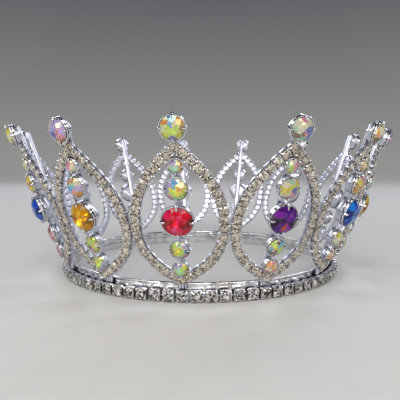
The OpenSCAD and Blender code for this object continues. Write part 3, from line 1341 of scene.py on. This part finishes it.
@dataclass
class PointedFrame:
    """One pointed frame: cup chain arms, back strip, claw settings, stem and arm stones."""

    form: CrownForm
    plates: list[Material]
    stones: StoneFinish
    cup_pitch: float = 3.85
    stone_d: float = 3.78
    cup_w: float = 4.55
    seat: float = 2.2
    rim: float = 1.6
    cup_corner: float = 0.4
    prong: float = 0.5
    cushion: float = 0.2
    lean: float = 0.12
    # The wires behind the arms' cups: half height, how much wider, and height of their middle
    wire_r: float = 0.75
    wire_flat: float = 1.3
    wire_z: float = 1.0
    wire_sides: int = 6
    # Steps along an arm: for the spacing of its cups, for its wires, and to read its direction
    path_steps: int = 193
    wire_steps: int = 60
    look: float = 0.02
    # The strip: how far it reaches behind the tip's setting, its section's points and roundness,
    # and its ends, as length from the foot or the tip and share of the full section
    strip_reach: float = 0.6
    strip_points: int = 11
    strip_round: float = 0.8
    strip_foot: tuple[Pair, ...] = ((0.0, 0.85), (0.4, 1.0))
    strip_tip: tuple[Pair, ...] = ((1.2, 1.0), (0.3, 0.8), (0.0, 0.4))
    strip_swell: float = 0.2
    strip_deep: float = 0.95
    # The stem's rods: points round each, and the lower end's bevel and share of the radius
    rod_sides: int = 10
    rod_bevel: float = 0.15
    rod_end: float = 0.8
    # Shades of the arm stones' facets: champagne tones, with painted white glints and painted dark
    # reflections
    champagne: tuple[str, ...] = (
        "#ffffff",
        "#fffaf0",
        "#ffffff",
        "#ffffff",
        "#f6e6c4",
        "#d0b88e",
        "#2e241a",
        "#fbecde",
        "#7c6c58",
    )

    def __post_init__(self) -> None:
        """Spaces the arms' cups."""
        form = self.form
        shares = np.linspace(0, 2, self.path_steps)
        path = np.array([form.arm_at(u) for u in shares])
        steps = np.linalg.norm(np.diff(path, axis=0), axis=1)
        lengths = np.concatenate([[0], np.cumsum(steps)])
        count = round(lengths[-1] / self.cup_pitch)
        pitch = lengths[-1] / count
        self.cup_shares = np.interp(np.arange(count + 1) * pitch, lengths, shares)
        self.cup = ChainCup(
            self.cup_w, pitch, self.stone_d, self.seat, self.rim, self.cup_corner, self.prong
        )

    def arm_place(self, share: float, side: int) -> np.ndarray:
        """Place on an arm, with x across it, y along it and z outward.

        Args:
            share: Share of the arm's way, 0 to 2.
            side: 1 for the arm to the viewer's right, -1 for the other.

        Returns:
            The matrix.
        """
        form = self.form
        x, s = form.arm_at(share)
        a, b = form.arm_at(max(share - self.look, 0)), form.arm_at(min(share + self.look, 2))
        way = form.on_shell(side * b[0], b[1]) - form.on_shell(side * a[0], a[1])
        way /= np.linalg.norm(way)
        angle = side * x / form.slope_r(s)
        lean = math.cos(form.flare)
        out = np.array([lean * math.sin(angle), -lean * math.cos(angle), -math.sin(form.flare)])
        matrix = np.eye(4)
        matrix[:3, 0] = np.cross(way, out)
        matrix[:3, 1] = way
        matrix[:3, 2] = out
        matrix[:3, 3] = form.on_shell(side * x, s)
        return matrix

    def cup_places(self) -> list[np.ndarray]:
        """Places of the cups of both arms, where the two end cups stand on a corner.

        Returns:
            Their matrices.
        """
        form = self.form
        places = []
        for share in (0.0, 2.0):
            corner = form.panel() @ moved(0, form.arm_at(share)[1], 0)
            places.append(corner @ turned(math.pi / 4))
        for side in (1, -1):
            places += [self.arm_place(u, side) for u in self.cup_shares[1:-1]]
        return places

    def add_wires(self, maker: Maker) -> None:
        """Adds the wires that the arms' cups are soldered to.

        Args:
            maker: Mesh that they go into.
        """
        flat, z = self.wire_flat, self.wire_z
        circle = ring(self.wire_sides, self.wire_r, 0.0)
        section = np.array([(p[0] * flat, 0.0, z + p[1]) for p in circle])
        for side in (1, -1):
            rings = []
            for share in np.linspace(0, 2, self.wire_steps):
                place = self.arm_place(float(share), side)
                rings.append([tuple(p) for p in section @ place[:3, :3].T + place[:3, 3]])
            maker.add(loft(rings).flipped(), np.eye(4))

    def add_strip(self, maker: Maker) -> None:
        """Adds the flat strip behind the column.

        Args:
            maker: Mesh that it goes into.
        """
        form = self.form
        end = form.spots()[TIP] + self.strip_reach * form.cup_r(TIP)
        top, half = form.spine_t - form.spine_back, form.spine_w / 2 + self.strip_swell
        outline = [
            (-half * math.cos(a), top - (top + self.strip_deep) * math.sin(a) ** self.strip_round)
            for a in np.linspace(0, math.pi, self.strip_points)
        ]
        rings = []
        tip = [(end - back, scale) for back, scale in self.strip_tip]
        for y, scale in (*self.strip_foot, *tip):
            rings.append([(x * scale, y, z * scale) for x, z in outline])
        maker.add(loft(rings).flipped(), form.panel())

    def add_stem(self, maker: Maker) -> None:
        """Adds the three rods of the stem, side by side in front of the band.

        Args:
            maker: Mesh that they go into.
        """
        form = self.form
        low = form.chain_lift + form.chain_cup_w + 2 * form.fit_gap
        corner = form.corner(form.round_low, form.frame_low)
        high = form.band_h + (form.foot_s + corner) * math.cos(form.flare)
        radius = form.stem_t / 2
        middle = -form.band_r - form.fit_gap - radius
        rod = loft(
            [
                ring(self.rod_sides, radius * self.rod_end, low),
                ring(self.rod_sides, radius, low + self.rod_bevel),
                ring(self.rod_sides, radius, high),
            ]
        )
        for x in (radius - form.stem_w / 2, 0.0, form.stem_w / 2 - radius):
            maker.add(rod, moved(x, middle, 0))

    def metal(self) -> Maker:
        """Builds the metal of the front frame.

        Returns:
            Its mesh.
        """
        maker = Maker()
        for place in self.cup_places():
            self.cup.add_to(maker, place)
        self.add_wires(maker)
        self.add_strip(maker)
        for spot, s in self.form.spots().items():
            place = self.form.panel() @ moved(0, s, 0)
            ClawSetting(self.form, spot).add_to(maker, place)
        self.add_stem(maker)
        return maker

    def gems(self, draw: random.Random) -> Maker:
        """Builds the stones of the front frame's arms.

        Args:
            draw: Source of their tints and small errors.

        Returns:
            Their mesh.
        """
        maker = Maker()
        palette = [linear(code) for code in self.champagne]
        for place in self.cup_places():
            stone = small_stone(self.stone_d, palette, draw, self.cushion)
            maker.add(stone, self.cup.stone_place(place, draw, self.lean))
        return maker

    def build(self, draw: random.Random) -> None:
        """Builds both pieces of every frame.

        Args:
            draw: Source of the stones' tints and small errors.
        """
        metal = self.metal()
        for k in range(self.form.frame_count):
            number, turn = f"{k + 1:02d}", k * self.form.step
            frame = metal.piece(f"frame_metal_{number}", self.plates, smooth=True, turn=turn)
            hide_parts(f"frame_{number}")
            row = self.gems(draw).piece(f"arm_gems_{number}", self.stones.slots, turn=turn)


@dataclass
class ColumnStones:
    """The large stones of the columns and the tips."""

    form: CrownForm
    coated: StoneFinish
    melts: dict[Melt, StoneFinish]
    lean: float = 0.03
    # How far the painted glints of the coloured stones go to white
    centre_glint_white: float = 0.15

    def coat(self, spot: StoneSpot, k: int, draw: random.Random) -> list[Colour]:
        """Tints of a coated stone.

        Args:
            spot: Which stone of the column.
            k: Number of its frame, counted from 0.
            draw: Source of the order on the frames behind.

        Returns:
            Eight colours round its crown and eight round its table.
        """
        rows = COATS[spot]
        shown = {0: 0, 1: 1, 2: 2, self.form.frame_count - 2: 3, self.form.frame_count - 1: 4}
        if k in shown:
            return pattern(rows[shown[k]])
        letters = rows[draw.randrange(len(rows))]
        return pattern("".join(draw.sample(letters[:8], 8) + draw.sample(letters[8:], 8)))

    def add_gem(self, maker: Maker, spot: StoneSpot, k: int, draw: random.Random) -> None:
        """Adds a stone to a mesh.

        Args:
            maker: Mesh that it goes into.
            spot: Which stone of the column.
            k: Number of its frame, counted from 0.
            draw: Source of tints and small errors.
        """
        if spot is CENTRE:
            tints, glint_white = MELTS[k].shades(), self.centre_glint_white
        else:
            tints, glint_white = self.coat(spot, k, draw), 1.0
        gem = cut_stone(ROUND_CUT, spot.diameter, tints, draw, glint_white)
        seat = moved(0, self.form.spots()[spot], ROUND_CUT.seat(self.form, spot))
        frame = turned(k * self.form.step) @ self.form.panel()
        maker.add(gem, frame @ seat @ askew(draw, self.lean))

    def build(self, draw: random.Random) -> None:
        """Builds every stone's piece.

        Args:
            draw: Source of tints and small errors.
        """
        for k in range(self.form.frame_count):
            number, melt = f"{k + 1:02d}", MELTS[k]
            maker = Maker()
            self.add_gem(maker, CENTRE, k, draw)
            piece = maker.piece(f"centre_gem_{number}", self.melts[melt].slots)
            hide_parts(f"centre_stone_{number}")
            maker = Maker()
            self.add_gem(maker, TIP, k, draw)
            piece = maker.piece(f"tip_gem_{number}", self.coated.slots)
            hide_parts(f"tip_stone_{number}")
        for spot in (UPPER, TOP, LOWER, LOWEST):
            maker = Maker()
            for k in range(self.form.frame_count):
                self.add_gem(maker, spot, k, draw)
            row = maker.piece(f"{spot.name}_gems", self.coated.slots)
            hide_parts(f"{spot.name}_stones")


# Where the lights aim: the middle of the crown, in metres
AIM = (0.0, 0.0, 0.04)


@dataclass(frozen=True)
class Softbox:
    """One square studio light, in metres and watts, aimed at the crown."""

    name: str
    place: Point
    size: float
    power: float
    colour: str = "#ffffff"

    def build(self) -> None:
        """Builds the light."""
        light = bpy.data.lights.new(self.name, "AREA")
        light.shape = "SQUARE"
        light.size = self.size
        light.energy = self.power
        light.color = linear(self.colour)[:3]
        item = new_object(self.name, light)
        item.location = self.place
        aim = Vector(AIM) - Vector(self.place)
        item.rotation_euler = aim.to_track_quat("-Z", "Y").to_euler()


@dataclass
class Studio:
    """Pale floor, soft lights, grey surround with light panels, and the camera."""

    floor_r: float = 8.0
    floor_sides: int = 96
    floor: str = "#dfdedb"
    # Paper fibre is near 0.1 mm. Its clouds are drawn at 12 mm and 3 percent darker.
    fibre_mm: float = 12.0
    fibre_dark: float = 0.03
    fibre_span: Pair = (0.3, 0.7)
    # The surround's greys at heights from the horizon, 0, to the zenith, 1
    horizon: str = "#929290"
    backdrop: str = "#5e6064"
    backdrop_z: float = 0.34
    zenith: str = "#24262a"
    zenith_z: float = 0.6
    # The ring of panels: how far it is turned, the soft ends of a panel, and its soft edges
    panels: int = 5
    panel_turn: float = 0.6
    panel_ends: Pair = (0.4, 0.65)
    panel_low: Pair = (0.42, 0.5)
    panel_high: Pair = (0.72, 0.8)
    panel_light: float = 2.8
    # The camera, in millimetres and in pixels of its frame, fitted to the photograph
    view_angle: float = math.radians(5.6)
    pitch: float = math.radians(4.83)
    distance: float = 257.57
    eye_height: float = 58.15
    focal_px: float = 455.59
    frame_px: int = 400
    sensor_mm: float = 36.0
    near_m: float = 0.01

    def build_floor(self) -> None:
        """Builds the floor, a disc of matt uncoated paper: an even, pale ground."""
        sheet = NodeSheet(bpy.data.materials.new("matt_paper"))
        place = sheet.add("TexCoord", "Object")
        fibre = sheet.add(
            "TexNoise", "Fac", {"Vector": place, "Scale": scale_of(self.fibre_mm), "Detail": 4.0}
        )
        paper = linear(self.floor)
        shades = zip(self.fibre_span, (mixed(paper, self.fibre_dark, 0.0), paper))
        shade = sheet.add("ValToRGB", "Color", {"Fac": fibre}, stops=shades)
        matt = sheet.finish("Principled BSDF", {"Roughness": 0.75, "Base Color": shade})
        rim = ring(self.floor_sides, self.floor_r, 0.0)
        mesh = bpy.data.meshes.new("floor")
        mesh.from_pydata(rim, [], [tuple(range(self.floor_sides))])
        mesh.materials.append(matt)
        new_object("floor", mesh)

    def build_world(self) -> None:
        """Builds the surround: grey, darker above, with a ring of soft panels over the crown."""
        sheet = NodeSheet(bpy.data.worlds.new("studio"))
        place = sheet.add("TexCoord", "Generated")
        height = sheet.add("SeparateXYZ", "Z", {"Vector": place})
        flat = height.node.outputs
        greys = [
            (0.0, linear(self.horizon)),
            (self.backdrop_z, linear(self.backdrop)),
            (self.zenith_z, linear(self.zenith)),
        ]
        shade = sheet.add("ValToRGB", "Color", {"Fac": height}, stops=greys)
        angle = sheet.add("Math", 0, {0: flat["Y"], 1: flat["X"]}, {"operation": "ARCTAN2"})
        parts = {0: angle, 1: float(self.panels), 2: self.panel_turn}
        turns = sheet.add("Math", 0, parts, {"operation": "MULTIPLY_ADD"})
        wave = sheet.add("Math", 0, {0: turns}, {"operation": "COSINE"})
        dark, lit = self.panel_ends
        across = sheet.add(
            "MapRange",
            "Result",
            {"Value": wave, "From Min": dark, "From Max": lit},
            {"interpolation_type": "SMOOTHSTEP"},
        )
        edges = zip(self.panel_low + self.panel_high, (0.0, 1.0, 1.0, 0.0))
        stops = [(z, grey(share)) for z, share in edges]
        upward = sheet.add("ValToRGB", "Color", {"Fac": height}, stops=stops)
        mask = sheet.add("Math", 0, {0: across, 1: upward}, {"operation": "MULTIPLY"})
        shares = {"Factor": mask, FIRST: shade, SECOND: grey(self.panel_light)}
        light = sheet.add("Mix", RESULT, shares, BLEND)
        bpy.context.scene.world = sheet.finish("Background", {"Color": light})

    def build_camera(self) -> None:
        """Builds the camera at the photograph's viewing angle."""
        lens = bpy.data.cameras.new("view")
        lens.sensor_width = self.sensor_mm
        lens.lens = self.sensor_mm * self.focal_px / self.frame_px
        lens.clip_start = self.near_m
        item = new_object("view", lens)
        a = self.view_angle
        reach = self.distance * MM
        item.location = reach * math.sin(a), -reach * math.cos(a), self.eye_height * MM
        item.rotation_euler = math.pi / 2 - self.pitch, 0.0, a
        bpy.context.scene.camera = item

    def build(self) -> None:
        """Builds the whole studio."""
        self.build_floor()
        self.build_world()
        self.build_camera()
        bpy.context.scene.view_settings.view_transform = "Standard"
        for light in (
            Softbox("key", (-0.5, -0.75, 0.42), 0.3, 2.1, "#fff6ea"),
            Softbox("fill", (0.6, -0.7, 0.34), 0.32, 1.45, "#fff8f0"),
            Softbox("low", (0.08, -1.3, 0.26), 0.36, 1.7, "#fffaf4"),
            Softbox("rim_left", (-0.5, 0.75, 0.6), 0.3, 1.5, "#e6eeff"),
            Softbox("rim_right", (0.55, 0.7, 0.6), 0.3, 1.5, "#e6eeff"),
            Softbox("top", (0.0, -0.7, 0.7), 0.34, 1.9, "#eef3ff"),
            Softbox("glint_left", (-0.3, -0.62, 0.2), 0.05, 0.35, "#fff1dc"),
            Softbox("glint_right", (0.3, -0.6, 0.24), 0.05, 0.35, "#fff1dc"),
        ):
            light.build()


# The rolled band: slow dents that bend its mirror images, and pale grime with painted shade along
# the strip
BAND_PLATE = SilverPlate("tumbled_silver_plate", grime_and_shade="#8e8a84", recess_mm=1.5, wave_mm=9.0)
# The cast frames: a soft, bluish shine
FRAME_PLATE = SilverPlate(
    "cast_silver_plate", "#eaebf6", "#c2c4d4", grime_and_shade="#8c8a90", roughness=0.34
)
# Claws and prongs, rubbed bright
CLAW_PLATE = SilverPlate(
    "polished_silver_plate", tarnish="#d0d0d4", grime_and_shade="#5c5854", roughness=0.12
)
# The pressed cups of the foot chain: soft shine, and grime with painted shade, dark between the
# cups
CUP_PLATE = SilverPlate(
    "stamped_silver_plate", "#eaebf6", "#c2c4d4", grime_and_shade="#34322f", roughness=0.3, recess_mm=1.8
)
# Foot stones: white glitter broken up by dark specks of painted reflection
FOOT_GLASS = CutGlass(
    "clear_lead_crystal",
    coat_share=0.5,
    milk=0.65,
    painted_speck_mm=0.75,
    painted_speck_share=0.3,
    painted_speck_middle=0.56,
)
FOOT_FOIL = MirrorFoil("clear_mirror_foil", tint_share=0.7)
# Arm stones: warm white glitter, with painted specks of reflection
ARM_GLASS = CutGlass("champagne_lead_crystal", "#fff4e0", coat_share=0.5, milk=0.6, painted_speck_mm=0.52)
ARM_FOIL = MirrorFoil("champagne_mirror_foil", tint_share=0.7)
# Coated column stones: facets of many tints of painted reflection under a shine that shifts in
# colour
COATED_GLASS = CutGlass("rainbow_coated_crystal", coat_share=0.9, film_nm=375.0, milk=0.55)
COATED_FOIL = MirrorFoil("rainbow_coated_foil")


def main() -> None:
    """Builds the crown's dress, the floor, the lights and the camera."""
    logging.basicConfig(level=logging.INFO, format="%(message)s")
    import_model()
    Studio().build()
    form = CrownForm(band_r=round(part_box("band")[1].x / MM, 1) - CrownForm.link_t)
    LOG.info("band radius %.2f mm, %d chain cups", form.band_r, form.chain_count)
    draw = random.Random(SEED)
    polished = CLAW_PLATE.build()
    clear = StoneFinish(FOOT_GLASS.build(), FOOT_FOIL.build())
    champagne = StoneFinish(ARM_GLASS.build(), ARM_FOIL.build())
    coated = StoneFinish(COATED_GLASS.build(), COATED_FOIL.build())
    Band(form, BAND_PLATE.build()).build()
    FootChain(form, [CUP_PLATE.build(), polished], clear).build(draw)
    PointedFrame(form, [FRAME_PLATE.build(), polished], champagne).build(draw)
    ColumnStones(form, coated, {melt: melt.finish() for melt in Melt}).build(draw)


if __name__ == "__main__":
    main()
